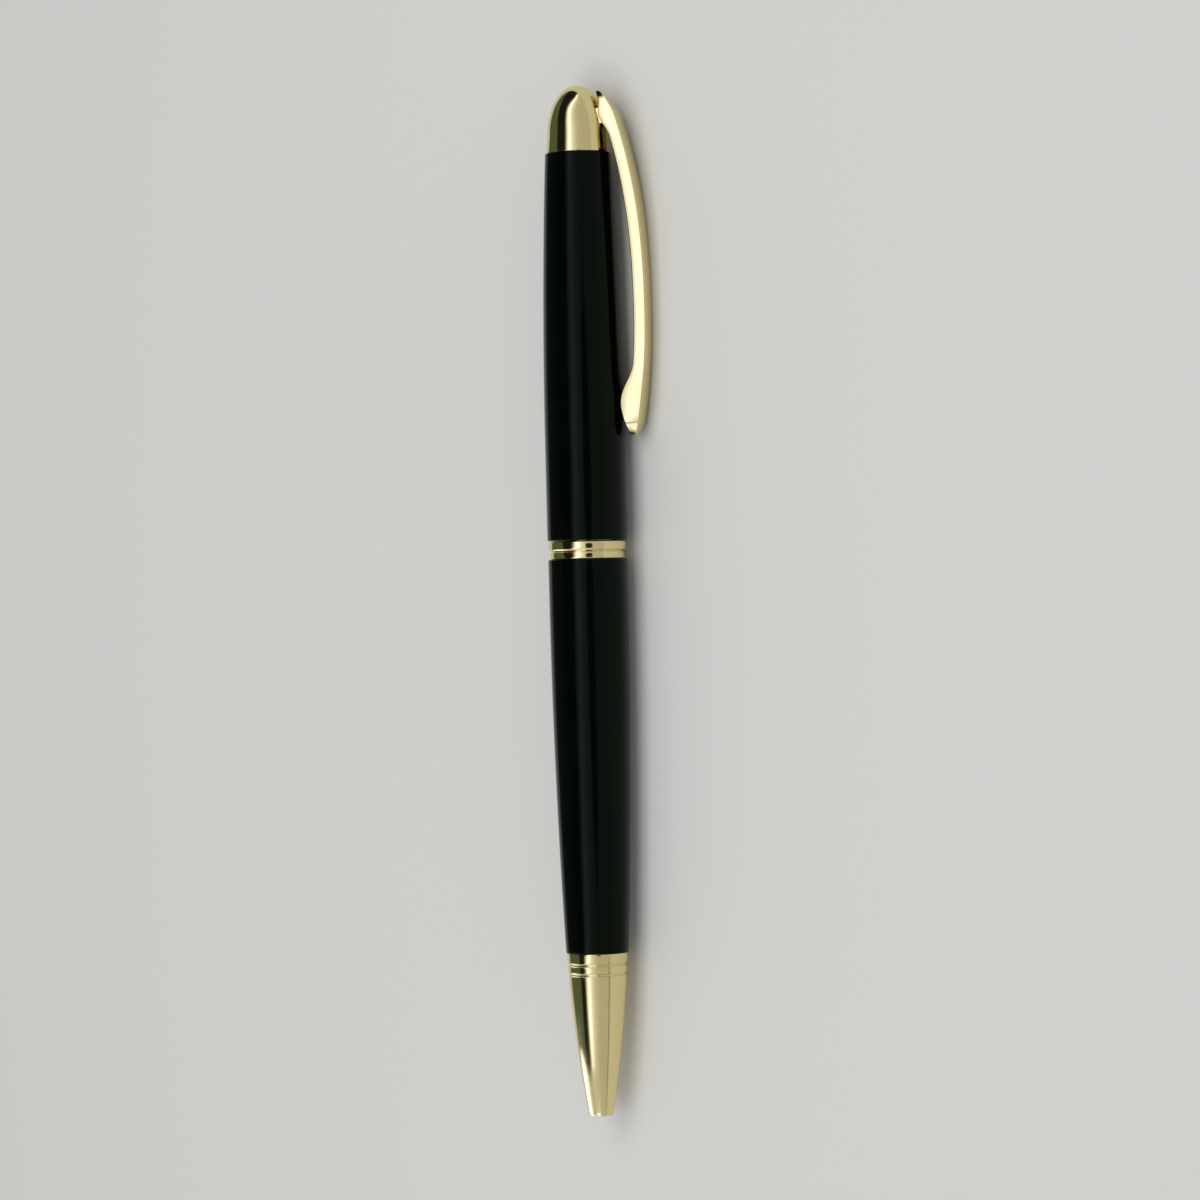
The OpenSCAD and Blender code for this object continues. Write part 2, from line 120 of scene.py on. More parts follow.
def barrel_run(z0, z1, r0, r1, count=36):
    """A barrel's long curve: leaves r0 straight at z0 and closes on r1 at z1."""
    return [(r0 - (r0 - r1) * share ** 2, z0 + (z1 - z0) * share)
            for share in line_up(0, 1, count)]


def bead_run(z0, z1, foot, crest, fullness=4, count=32):
    """A rounded bead between two heights, flatter on top than a half ellipse."""
    run = []
    for x in (sin(a) for a in line_up(-pi / 2, pi / 2, count)):
        lift = max(0.0, 1 - abs(x) ** fullness) ** (1 / fullness)
        run.append((foot + (crest - foot) * lift, (z0 + z1) / 2 + (z1 - z0) / 2 * x))
    return run


def arc_run(radius, centre, start, end, count):
    """An arc about a point on the axis, between two angles from level."""
    return [(radius * cos(a), centre + radius * sin(a)) for a in line_up(start, end, count)]


def filleted(corners, closed):
    """The outline with an arc in place of each corner that states a fillet."""
    points = []
    for i, corner in enumerate(corners):
        here = Vector(corner[:2])
        fillet = corner[2] if len(corner) > 2 else 0
        if not fillet or (not closed and i in (0, len(corners) - 1)):
            points.append(here)
            continue
        back = (Vector(corners[i - 1][:2]) - here).normalized()
        ahead = (Vector(corners[(i + 1) % len(corners)][:2]) - here).normalized()
        half = back.angle(ahead) / 2
        centre = here + (back + ahead).normalized() * fillet / sin(half)
        start = here + back * fillet * cos(half) / sin(half) - centre
        end = here + ahead * fillet * cos(half) / sin(half) - centre
        points += [centre + fillet * start.slerp(end, k / FILLET_STEPS)
                   for k in range(FILLET_STEPS + 1)]
    return points


# ---- Meshes ----

def finish_mesh(name, bm):
    """An object in the scene from a bmesh, smooth apart from its sharp edges."""
    bmesh.ops.recalc_face_normals(bm, faces=bm.faces)
    mesh = bpy.data.meshes.new(name)
    bm.to_mesh(mesh)
    bm.free()
    mesh.shade_smooth()
    mesh.set_sharp_from_angle(angle=SHARP)
    piece = bpy.data.objects.new(name, mesh)
    bpy.context.scene.collection.objects.link(piece)
    return piece


def lathe(name, corners, closed=True, sides=TURNED_SIDES):
    """A solid turned about the pen's axis. An open outline starts and ends on the axis."""
    bm = bmesh.new()
    rings = []
    for radius, level in filleted(corners, closed):
        count = sides if radius > ON_AXIS else 1
        rings.append([bm.verts.new(place(radius, 2 * pi * k / count, level))
                      for k in range(count)])
    pairs = list(zip(rings, rings[1:]))
    if closed:
        pairs.append((rings[-1], rings[0]))
    for a, b in pairs:
        for k in range(sides):
            corner = [a[k % len(a)], a[(k + 1) % len(a)], b[(k + 1) % len(b)], b[k % len(b)]]
            bm.faces.new(list(dict.fromkeys(corner)))
    return finish_mesh(name, bm)


def skin(name, rings):
    """A closed tube through rings of points, with its first and last ring capped."""
    bm = bmesh.new()
    loops = [[bm.verts.new(p) for p in ring] for ring in rings]
    for a, b in zip(loops, loops[1:]):
        for k in range(len(a)):
            m = (k + 1) % len(a)
            bm.faces.new((a[k], a[m], b[m], b[k]))
    bm.faces.new(loops[0])
    bm.faces.new(loops[-1])
    return finish_mesh(name, bm)


def boolean(piece, other, operation):
    """Applies a boolean of another object, which is then removed, and welds slivers."""
    modifier = piece.modifiers.new(operation, "BOOLEAN")
    modifier.object = other
    modifier.operation = operation
    modifier.solver = "EXACT"
    shaped = piece.evaluated_get(bpy.context.evaluated_depsgraph_get())
    mesh = bpy.data.meshes.new_from_object(shaped)
    bm = bmesh.new()
    bm.from_mesh(mesh)
    bmesh.ops.remove_doubles(bm, verts=bm.verts, dist=WELD)
    bm.to_mesh(mesh)
    bm.free()
    piece.modifiers.clear()
    piece.data = mesh
    mesh.set_sharp_from_angle(angle=SHARP)
    bpy.data.objects.remove(other)


# ---- Driving sizes, in mm ----

seat = next(m for m in record["mounts"] if m["name"] == "loop_seat")["dims"]
SEAT_R, SEAT_LEN = seat["r_mm"], seat["length_mm"]
LOWER_END, LOWER_TOP = span("lower_barrel")
UPPER_TOP = span("upper_barrel")[1]
DOME_TOP = span("dome_cap")[1]
NOSE_TIP, NOSE_THREAD_TOP = span("nose_cone")
RING_LOW, RING_TOP = span("centre_ring")
CLIP_END, CLIP_TOP = span("clip")
AT_END = 0.01               # a point this close to an end counts as on it
LOWER_TOP_R = reach("lower_barrel", LOWER_TOP - 1, LOWER_TOP)
LOWER_END_R = reach("lower_barrel", LOWER_END, LOWER_END + AT_END)
UPPER_END_R = reach("upper_barrel", UPPER_TOP - AT_END, UPPER_TOP)


# ---- Barrels ----

LOWER_STRAIGHT = 3.6        # length below the ring before the lower barrel tapers
BARREL_WALL = 0.6
LACQUER_EDGE = 0.14         # rounding where lacquer turns over a barrel's end
BORE_EDGE = 0.06            # rounding of the bore's edge at the end nearer the ring


def make_upper_barrel():
    liner_top = span("barrel_liner")[1]
    insert_low = span("top_insert")[0]
    insert_r = reach("top_insert", insert_low, UPPER_TOP)
    outside = barrel_run(SEAT_LEN, UPPER_TOP, SEAT_R, UPPER_END_R)
    inside = [(r - BARREL_WALL, z) for r, z in outside if liner_top < z < insert_low]
    return lathe("upper_barrel_lacquered", [
        (SEAT_R - BARREL_WALL, 0, BORE_EDGE),
        (SEAT_R, 0, LACQUER_EDGE),
        *outside[:-1],
        (*outside[-1], LACQUER_EDGE),
        (insert_r, UPPER_TOP),
        (insert_r, insert_low),
        *reversed(inside),
        (SEAT_R - BARREL_WALL, liner_top),
    ])


def make_lower_barrel():
    front_r = reach("front_insert", LOWER_END, 0)
    front_top = span("front_insert")[1]
    rear_r = reach("rear_insert", LOWER_END, 0)
    rear_low = span("rear_insert")[0]
    outside = barrel_run(LOWER_TOP - LOWER_STRAIGHT, LOWER_END, LOWER_TOP_R, LOWER_END_R)
    inside = [(r - BARREL_WALL, z) for r, z in outside if front_top < z < rear_low]
    return lathe("lower_barrel_lacquered", [
        (rear_r, LOWER_TOP, BORE_EDGE),
        (LOWER_TOP_R, LOWER_TOP, LACQUER_EDGE),
        *outside[:-1],
        (*outside[-1], LACQUER_EDGE),
        (front_r, LOWER_END),
        (front_r, front_top),
        *reversed(inside),
        (rear_r, rear_low),
    ])


# ---- Centre ring ----

RING_BORE_R = 3.8
RING_FOOT_R = 4.55
RING_SPLIT = 0.44           # share of the ring's height that the lower bead takes
RING_GROOVE = 0.06          # half the gap between the beads


def make_centre_ring():
    split = RING_LOW + RING_SPLIT * (RING_TOP - RING_LOW)
    lower_crest = reach("centre_ring", RING_LOW, split - RING_GROOVE)
    upper_crest = reach("centre_ring", split + RING_GROOVE, RING_TOP)
    return lathe("centre_ring_beaded", [
        (RING_BORE_R, RING_LOW),
        *bead_run(RING_LOW, split - RING_GROOVE, RING_FOOT_R, lower_crest),
        *bead_run(split + RING_GROOVE, RING_TOP, RING_FOOT_R, upper_crest),
        (RING_BORE_R, RING_TOP),
    ])


# ---- Nose cone ----

NOSE_TIP_R = 1.55
NOSE_TOP_R = 3.925
NOSE_BULGE = 0.33           # how far the cone's side stands out from straight, halfway up
NOSE_BORE_R = 1.25
NOSE_BORE_LEN = 9.5
SPRING_BORE_R = 2.35
NOSE_THREAD_R = 3.0
NOSE_EDGES = (0.1, 0.2, 0.08)           # rounding of the bore, of the tip and of the top
NOSE_FROM, NOSE_TO = NOSE_TIP + 0.5, LOWER_END - 0.3    # stretch drawn as the bulged side
GROOVE_DEPTH = 0.13
GROOVE_HALF = 0.16
GROOVE_DROPS = (1.45, 2.7)  # below the barrel's end
GROOVE_LIP = 1.3 * GROOVE_HALF          # from a groove's middle to where the side goes on
GROOVE_CLEAR = 1.6 * GROOVE_HALF        # from a groove's middle to the side's next point


def nose_radius(level):
    """Radius of the nose's side at a height: a straight taper that bulges in the middle."""
    share = (level - NOSE_TIP) / (LOWER_END - NOSE_TIP)
    taper = NOSE_TIP_R + (NOSE_TOP_R - NOSE_TIP_R) * share
    return taper + 4 * NOSE_BULGE * share * (1 - share)


def groove_run(middle):
    """A half-round groove in the nose's side, with a lip on either side of it."""
    low, high = middle - GROOVE_LIP, middle + GROOVE_LIP
    return [
        (nose_radius(low), low),
        *((nose_radius(middle) - GROOVE_DEPTH * sin(a), middle - GROOVE_HALF * cos(a))
          for a in line_up(0, pi, 10)),
        (nose_radius(high), high),
    ]


def make_nose_cone():
    grooves = [LOWER_END - drop for drop in GROOVE_DROPS]
    outside = [(nose_radius(z), z) for z in line_up(NOSE_FROM, NOSE_TO, 60)
               if all(abs(z - groove) > GROOVE_CLEAR for groove in grooves)]
    for groove in grooves:
        outside += groove_run(groove)
    outside.sort(key=lambda point: point[1])
    chamber_low = NOSE_TIP + NOSE_BORE_LEN
    bore_edge, tip_edge, top_edge = NOSE_EDGES
    return lathe("nose_cone_turned", [
        (NOSE_BORE_R, NOSE_TIP, bore_edge),
        (NOSE_TIP_R, NOSE_TIP, tip_edge),
        *outside,
        (NOSE_TOP_R, LOWER_END, top_edge),
        (NOSE_THREAD_R, LOWER_END),
        (NOSE_THREAD_R, NOSE_THREAD_TOP),
        (SPRING_BORE_R, NOSE_THREAD_TOP),
        (SPRING_BORE_R, chamber_low),
        (NOSE_BORE_R, chamber_low),
    ])


# ---- Clip, in its own axes: out from the pen, along the pen, and across the clip ----

hinge_axis = joints["clip_flex"]["axis"]
ROLL = atan2(hinge_axis[0], hinge_axis[2])
OUT = Vector((cos(ROLL), 0, -sin(ROLL)))
ALONG = Vector((0, 1, 0))
ACROSS = Vector((-sin(ROLL), 0, -cos(ROLL)))
CLIP_LEN = CLIP_TOP - CLIP_END
CLIP_REACH = 8.97
CLIP_CREST = 28.9           # distance from the top point down to the furthest reach
CLIP_BEND, CLIP_BEND_POWER = 0.00102, 2.5       # how the outer face falls away above the crest
CLIP_LOW_BEND = 0.0064                          # and below it, as a parabola
CLIP_THICK = 1.7
CLIP_TOP_W, CLIP_MID_W = 3.9, 3.3
WAIST_FROM, WAIST_LEN = 8, 20                   # where the width goes from one to the other
LOBE_HALF = 4.6             # half the length of the drop-shaped end
LOBE_AT = CLIP_LEN - LOBE_HALF
LOBE_THICK, LOBE_WIDE = 1.2, 0.3                # what it adds to the clip's thickness and width
TOP_ROUND, END_ROUND = 5.5, 2.4
TIP_ROUND, TIP_POWER, TIP_R = 3.4, 1.7, 3.2     # how the outer face turns in at the top
ROOT_AT, ROOT_HALF, ROOT_EXTRA = 3.6, 2.4, 0.6  # thickening where the clip meets the dome
ROOT_CLEAR = 0.2            # between the clip's hollowed root and the dome
LEAST = 0.14                # share of its size that the clip keeps at either end
CLIP_CROWN = 0.12           # how far the outer face stands out along its middle
CLIP_EDGE = 0.12            # rounding of its long edges
EDGE_SHARE = 0.45           # most of a thin section that its rounded edge may take
CLIP_STATIONS = 150
CORNER_STEPS, FACE_STEPS = 6, 8
STUB_LOW = UPPER_TOP + 3.55
STUB_HIGH = STUB_LOW + 2
STUB_W = 3.2
STUB_IN, STUB_OUT = 2.6, 4.7
STUB_EDGE = 0.1
SLOT_GAP = 0.15
TONGUE_R, TONGUE_EYE_R, TONGUE_THICK = 2.4, 1.5, 1.0
NECK_IN, NECK_OUT = TONGUE_EYE_R + 0.25, STUB_IN + 0.3      # from inside the eye's rim to the stub
NECK_SHARE = 0.8            # of the stub's width


def clip_point(out, along, across):
    """A point in the frame, from distances in mm along the clip's axes from the twist plane."""
    return Vector((0, TWIST_Y, 0)) + (OUT * out + ALONG * along + ACROSS * across) * MM


def block(name, low, high, fillet=0.0):
    """A box between two corners in mm, in the clip's axes, with its edges rounded."""
    bm = bmesh.new()
    bmesh.ops.create_cube(bm, size=1)
    size = [h - l for l, h in zip(low, high)]
    if fillet:
        bmesh.ops.scale(bm, vec=size, verts=bm.verts)
        bmesh.ops.bevel(bm, geom=bm.edges, offset=fillet, segments=3, profile=0.5,
                        affect="EDGES")
        bmesh.ops.scale(bm, vec=[1 / length for length in size], verts=bm.verts)
    for vert in bm.verts:
        vert.co = clip_point(*(l + length * (c + 0.5)
                               for l, length, c in zip(low, size, vert.co)))
    return finish_mesh(name, bm)


def end_fade(distance, over):
    """Quarter-round fade from 1 down to LEAST over a length at one end."""
    if distance >= over:
        return 1
    return LEAST + (1 - LEAST) * sqrt(1 - (1 - distance / over) ** 2)


def smooth(start, end, share):
    """From start to end without a kink, as the share goes from 0 to 1."""
    share = min(1, max(0, share))
    return start + (end - start) * share * share * (3 - 2 * share)


def hump(s, at, half):
    """Smooth hump, 1 high at one place and 0 from half its length away."""
    away = (s - at) / half
    return cos(pi / 2 * away) ** 2 if abs(away) < 1 else 0


def lobe(s):
    """Share of the drop-shaped end's swelling, at a distance down from the clip's top."""
    return hump(s, LOBE_AT, LOBE_HALF)


def clip_outer(s):
    """Distance of the clip's outer face from the axis, at a distance down from its top."""
    if s < CLIP_CREST:
        return CLIP_REACH - CLIP_BEND * (CLIP_CREST - s) ** CLIP_BEND_POWER
    return CLIP_REACH - CLIP_LOW_BEND * (s - CLIP_CREST) ** 2


def tip_drop(s):
    """How far the outer face has turned in at the top."""
    if s >= TIP_ROUND:
        return 0
    return (clip_outer(0) - TIP_R) * (1 - s / TIP_ROUND) ** TIP_POWER


def clip_section(thick, wide):
    """A rounded rectangle in (out, across), with its outer face crowned."""
    edge = min(CLIP_EDGE, EDGE_SHARE * thick, EDGE_SHARE * wide)
    crown = CLIP_CROWN * wide / CLIP_TOP_W
    flat_out, flat_across = thick / 2 - edge, wide / 2 - edge
    points = []
    for quarter, (x_sign, z_sign) in enumerate(((1, 1), (-1, 1), (-1, -1), (1, -1))):
        points += [(x_sign * flat_out + edge * cos(a), z_sign * flat_across + edge * sin(a))
                   for a in line_up(quarter * pi / 2, (quarter + 1) * pi / 2, CORNER_STEPS)]
    points += [(thick / 2, z) for z in line_up(-flat_across, flat_across, FACE_STEPS)[1:-1]]
    return [(x - crown * (z / (wide / 2)) ** 2 if x > 0 else x, z) for x, z in points]


def clip_rings():
    """Sections down the clip, closer together at its ends, which close on mid-thickness."""
    rings = []
    for turn in line_up(0, pi, CLIP_STATIONS):
        s = CLIP_LEN * (1 - cos(turn)) / 2
        end = end_fade(CLIP_LEN - s, END_ROUND)
        full = CLIP_THICK + LOBE_THICK * lobe(s)
        thick = (full - tip_drop(s) + ROOT_EXTRA * hump(s, ROOT_AT, ROOT_HALF)) * end
        wide = smooth(CLIP_TOP_W, CLIP_MID_W, (s - WAIST_FROM) / WAIST_LEN) + LOBE_WIDE * lobe(s)
        wide *= end_fade(s, TOP_ROUND) * end
        middle = clip_outer(s) - tip_drop(s) - thick / 2 - 0.5 * full * (1 - end)
        rings.append([clip_point(middle + x, CLIP_TOP - s, z)
                      for x, z in clip_section(thick, wide)])
    return rings


def make_clip():
    clip = skin("clip_sprung", clip_rings())
    hollow = lathe("hollow", [(0, UPPER_TOP), *dome_outline(ROOT_CLEAR)], closed=False)
    boolean(clip, hollow, "DIFFERENCE")
    half = STUB_W / 2
    stub = block("stub", (STUB_IN, STUB_LOW, -half), (STUB_OUT, STUB_HIGH, half), STUB_EDGE)
    middle = (STUB_LOW + STUB_HIGH) / 2
    low, high = middle - TONGUE_THICK / 2, middle + TONGUE_THICK / 2
    eye = lathe("eye", [(TONGUE_EYE_R, low), (TONGUE_R, low), (TONGUE_R, high),
                        (TONGUE_EYE_R, high)], sides=SMALL_SIDES)
    neck = block("neck", (NECK_IN, low, -half * NECK_SHARE), (NECK_OUT, high, half * NECK_SHARE))
    for part in (stub, neck, eye):
        boolean(clip, part, "UNION")
    return clip


# ---- Dome cap ----

DOME_FOOT_R = 4.05
DOME_R = 3.85               # where the skirt turns into the dome
DOME_SKIRT = 2.2
DOME_FOOT_EDGE = 0.1
DOME_BORE_R, DOME_BORE_TOP = 2.85, UPPER_TOP + 5.4
STUD_R, STUD_HOLE_TOP = 1.25, UPPER_TOP + 7.2
SLOT_IN, SLOT_OUT = DOME_BORE_R - 0.6, DOME_BORE_R + 2.4    # cut right through the wall


def dome_outline(grow=0.0):
    """From the skirt's foot over the dome to the axis, grown outwards."""
    skirt_top = UPPER_TOP + DOME_SKIRT
    rise = DOME_TOP + grow - skirt_top
    dome = [((DOME_R + grow) * cos(a), skirt_top + rise * sin(a))
            for a in line_up(0, pi / 2, 48)]
    return [(DOME_FOOT_R + grow, UPPER_TOP, DOME_FOOT_EDGE), *dome[:-1], (0, DOME_TOP + grow)]


def make_dome_cap():
    cap = lathe("dome_cap_polished", [
        (0, STUD_HOLE_TOP),
        (STUD_R, STUD_HOLE_TOP),
        (STUD_R, DOME_BORE_TOP),
        (DOME_BORE_R, DOME_BORE_TOP),
        (DOME_BORE_R, UPPER_TOP),
        *dome_outline(),
    ], closed=False)
    half = STUB_W / 2 + SLOT_GAP
    slot = block("slot", (SLOT_IN, STUB_LOW - SLOT_GAP, -half),
                 (SLOT_OUT, STUB_HIGH + SLOT_GAP, half))
    boolean(cap, slot, "DIFFERENCE")
    return cap


# ---- Refill point and ball ----

POINT_SIDES = 96
POINT_STEM_R, POINT_STEM_AT = 0.95, 12.65       # the stem starts this far above the mouth
POINT_TAPER_AT, POINT_TAPER_EDGE = 3, 0.3       # and the body tapers from here
POINT_END = [(0.55, 0.35, 0.05), (0.47, 0.3, 0.04), (0.45, 0, 0.03)]    # from the mouth up
POINT_EDGE = 0.06
DUCT_R = 0.3
BALL_CLEAR = 0.01           # between the ball and its socket
SOCKET_TOP = atan2(0.9, 0.6)                    # angle at which the socket meets the duct


def make_refill_tip():
    low, high = span("refill_tip")
    ball_low, ball_high = span("writing_ball")
    ball_at = (ball_low + ball_high) / 2
    socket_r = (ball_high - ball_low) / 2 + BALL_CLEAR
    mouth_r = sqrt(socket_r ** 2 - (low - ball_at) ** 2)
    body_r = reach("refill_tip", low, high)
    return lathe("refill_tip_turned", [
        *arc_run(socket_r, ball_at, atan2(low - ball_at, mouth_r), SOCKET_TOP, 12),
        (DUCT_R, ball_at + socket_r),
        (DUCT_R, high),
        (POINT_STEM_R, high),
        (POINT_STEM_R, low + POINT_STEM_AT),
        (body_r, low + POINT_STEM_AT, POINT_EDGE),
        (body_r, low + POINT_TAPER_AT, POINT_TAPER_EDGE),
        *((radius, low + up, fillet) for radius, up, fillet in POINT_END),
    ], sides=POINT_SIDES)


def make_writing_ball():
    low, high = span("writing_ball")
    return lathe("writing_ball_ground",
                 arc_run((high - low) / 2, (low + high) / 2, -pi / 2, pi / 2, 40),
                 closed=False, sides=SMALL_SIDES)


# ---- Return spring ----

SPRING_TURNS = 9            # the first and the last turn are closed
SPRING_GAP = 0.02           # between closed coils, and at either end
WIRE_R = 0.2
TURN_STEPS, WIRE_SIDES = 48, 16


def make_return_spring():
    low, high = span("return_spring")
    coil_r = reach("return_spring", low, high) - WIRE_R
    rise = 2 * WIRE_R + SPRING_GAP
    body = high - low - 2 * WIRE_R - 2 * rise
    rings = []
    for step in range(SPRING_TURNS * TURN_STEPS + 1):
        turn = step / TURN_STEPS
        level = low + WIRE_R
        if turn < 1:
            level += rise * turn
        elif turn > SPRING_TURNS - 1:
            level += rise + body + rise * (turn - SPRING_TURNS + 1)
        else:
            level += rise + body * (turn - 1) / (SPRING_TURNS - 2)
        rings.append([place(coil_r + WIRE_R * cos(a), 2 * pi * turn, level + WIRE_R * sin(a))
                      for a in line_up(0, 2 * pi, WIRE_SIDES)[:-1]])
    return skin("return_spring_coiled", rings)


# ---- Materials ----

ROUND = (0.03, 1, 0.03)     # drawn out round the axis, as turning leaves it
LENGTHWAYS = (1, 0.02, 1)   # drawn out along the pen, as drawing and brushing leave it
EVEN = (1, 1, 1)
UM = 1e-6
SOFT_LIGHT_DEPTH = 0.001    # metres that light travels inside the white plastics


def node_material(name):
    material = bpy.data.materials.new(name)
    material.use_nodes = True
    return material


class Look:
    """A Principled material, and short calls that add procedural detail to it.

    Textures use object coordinates. Every object sits at the frame's origin, so these are
    the frame's own metres, and a scale of 1000 gives features of about a millimetre.
    """

    def __init__(self, name, sockets):
        self.material = node_material(name)
        self.tree = self.material.node_tree
        self.shader = self.tree.nodes["Principled BSDF"]
        self.coordinates = self.add("ShaderNodeTexCoord").outputs["Object"]
        for socket, value in sockets.items():
            self.shader.inputs[socket].default_value = value

    def add(self, kind, inputs=None, **settings):
        node = self.tree.nodes.new(kind)
        for key, value in settings.items():
            setattr(node, key, value)
        for key, value in (inputs or {}).items():
            if isinstance(value, bpy.types.NodeSocket):
                self.tree.links.new(value, node.inputs[key])
            else:
                node.inputs[key].default_value = value
        return node

    def feed(self, socket, value):
        self.tree.links.new(value, self.shader.inputs[socket])

    def noise(self, scale, stretch=EVEN, detail=3, roughness=0.55):
        """Noise from 0 to 1. A stretch below 1 draws it out along that axis."""
        spread = self.add("ShaderNodeMapping", {"Vector": self.coordinates, "Scale": stretch})
        return self.add("ShaderNodeTexNoise", {
            "Vector": spread.outputs["Vector"], "Scale": scale, "Detail": detail,
            "Roughness": roughness}).outputs["Fac"]

    def remap(self, value, low, high, start=0.3, end=0.7):
        """The value's stretch from start to end, spread over low to high."""
        return self.add("ShaderNodeMapRange", {
            "Value": value, "From Min": start, "From Max": end,
            "To Min": low, "To Max": high}).outputs["Result"]

    def combine(self, operation, a, b):
        return self.add("ShaderNodeMath", {0: a, 1: b}, operation=operation).outputs["Value"]

    def colour(self, value, dark, light):
        """Colours the surface from dark to light where noise is low to high."""
        mix = self.add("ShaderNodeMix",
                       {"Factor": self.remap(value, 0, 1), "A": (*dark, 1), "B": (*light, 1)},
                       data_type="RGBA")
        self.feed("Base Color", mix.outputs["Result"])

    def bump(self, layers):
        """Raises the surface by a list of (value, depth in micrometres)."""
        normal = None
        for value, depth in layers:
            inputs = {"Height": value, "Strength": 1.0, "Distance": depth * UM}
            if normal:
                inputs["Normal"] = normal
            normal = self.add("ShaderNodeBump", inputs).outputs["Normal"]
        self.feed("Normal", normal)


def gold(name, grain):
    """Polished pale plating, with fine tool lines along the grain and faint smudges."""
    look = Look(name, {"Metallic": 1.0, "IOR": 1.45})
    cloud = look.noise(120, detail=4)
    lines = look.noise(5200, grain, detail=2)
    smudge = look.noise(420, detail=5, roughness=0.65)
    look.colour(cloud, (0.77, 0.66, 0.31), (0.83, 0.72, 0.37))
    look.feed("Roughness", look.combine(
        "ADD", look.remap(smudge, 0.05, 0.11), look.remap(lines, 0, 0.03)))
    look.bump([(lines, 0.5), (look.noise(900, detail=2), 1.2)])
    return look.material


def lacquer():
    """Deep black gloss, with smudges and hairlines along the barrel."""
    # The green specular tint is a painted reflection colour, a green cast in the lacquer's
    # reflections that the lights don't give
    look = Look("black_lacquer", {"IOR": 1.45, "Specular IOR Level": 0.11,
                                  "Specular Tint": (0.78, 1.0, 0.66, 1)})
    cloud = look.noise(200, detail=3)
    smudge = look.noise(350, (1, 0.5, 1), detail=6, roughness=0.7)
    hairlines = look.remap(look.noise(6500, LENGTHWAYS, detail=2), 0, 1, start=0.66, end=0.78)
    look.colour(cloud, (0.0010, 0.0017, 0.0014), (0.0018, 0.0028, 0.0023))
    look.feed("Roughness", look.combine(
        "ADD", look.remap(smudge, 0.05, 0.12), look.combine("MULTIPLY", hairlines, 0.05)))
    look.bump([(look.noise(700, detail=2), 1.5), (hairlines, 0.5)])
    return look.material


def turned_metal(name, dark, light, rough=(0.22, 0.36), grain=ROUND, scale=4200):
    """Bare metal with tool lines along the grain and a faint stain."""
    look = Look(name, {"Metallic": 1.0})
    lines = look.noise(scale, grain, detail=4)
    stain = look.noise(300, detail=5, roughness=0.6)
    look.colour(stain, dark, light)
    look.feed("Roughness", look.combine(
        "ADD", look.remap(stain, *rough), look.remap(lines, 0, 0.08)))
    look.bump([(lines, 3)])
    return look.material


def moulded(name, dark, light, sockets, rough=(0.35, 0.5), grain_depth=4):
    """Plastic, rubber or a filling, with a fine grain and slow flow marks."""
    look = Look(name, sockets)
    grain = look.noise(3500, detail=3)
    flow = look.noise(160, (1, 0.25, 1), detail=4)
    look.colour(flow, dark, light)
    look.feed("Roughness", look.remap(grain, *rough))
    look.bump([(grain, grain_depth), (flow, 20)])
    return look.material


LOOKS = {
    "black_lacquer": lacquer(),
    "gold_plate": gold("gold_plate_turned", ROUND),
    "insert_brass": turned_metal("insert_brass", (0.62, 0.44, 0.17), (0.76, 0.60, 0.28)),
    "mechanism_brass": turned_metal("mechanism_brass", (0.60, 0.43, 0.18), (0.74, 0.58, 0.27),
                                    rough=(0.16, 0.28)),
    "spring_steel": turned_metal("spring_steel", (0.46, 0.47, 0.49), (0.62, 0.63, 0.65),
                                 rough=(0.18, 0.3), grain=EVEN, scale=9000),
    "plain_steel": turned_metal("plain_steel", (0.56, 0.57, 0.58), (0.70, 0.71, 0.72)),
    "ball_carbide": turned_metal("ball_carbide", (0.34, 0.35, 0.37), (0.44, 0.45, 0.47),
                                 rough=(0.06, 0.12), grain=EVEN, scale=30000),
    "seal_rubber": moulded("seal_rubber", (0.012, 0.012, 0.013), (0.024, 0.024, 0.025),
                           {"Specular IOR Level": 0.3}, rough=(0.6, 0.8), grain_depth=8),
    "cam_plastic": moulded("cam_plastic", (0.72, 0.71, 0.66), (0.82, 0.81, 0.77),
                           {"Subsurface Weight": 0.15, "Subsurface Scale": SOFT_LIGHT_DEPTH}),
    "refill_plastic": moulded("refill_plastic", (0.74, 0.74, 0.71), (0.84, 0.84, 0.82),
                              {"Subsurface Weight": 0.2, "Subsurface Scale": SOFT_LIGHT_DEPTH},
                              rough=(0.28, 0.42)),
    "refill_tube_plastic": moulded("refill_tube_plastic", (0.80, 0.84, 0.86), (0.88, 0.91, 0.92),
                                   {"Transmission Weight": 0.85, "IOR": 1.49}, rough=(0.1, 0.22)),
    "gel_ink_black": moulded("gel_ink_black", (0.004, 0.004, 0.006), (0.010, 0.010, 0.014),
                             {"Coat Weight": 0.5, "Coat Roughness": 0.05}, rough=(0.08, 0.16)),
    "ink_follower_gel": moulded("ink_follower_gel", (0.62, 0.70, 0.48), (0.74, 0.80, 0.62),
                                {"Transmission Weight": 0.6, "IOR": 1.47}, rough=(0.12, 0.25)),
}
GOLD_BRUSHED = gold("gold_plate_brushed", LENGTHWAYS)


# ---- Pieces on their bodies ----

def fit(piece, node, body, slot, look=None):
    """Puts a piece in place of a CAD node, on that node's body."""
    piece.data.materials.clear()
    piece.data.materials.append(look or LOOKS[slot])
    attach(piece, body)
    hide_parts(node)
    return piece


fit(make_upper_barrel(), "upper_barrel", "upper", "black_lacquer")
fit(make_lower_barrel(), "lower_barrel", "lower", "black_lacquer")
fit(make_centre_ring(), "centre_ring", "lower", "gold_plate")
fit(make_nose_cone(), "nose_cone", "lower", "gold_plate")
fit(make_dome_cap(), "dome_cap", "upper", "gold_plate")
fit(make_clip(), "clip", "clip", "gold_plate", GOLD_BRUSHED)
fit(make_refill_tip(), "refill_tip", "refill", "plain_steel")
fit(make_writing_ball(), "writing_ball", "ball", "ball_carbide")

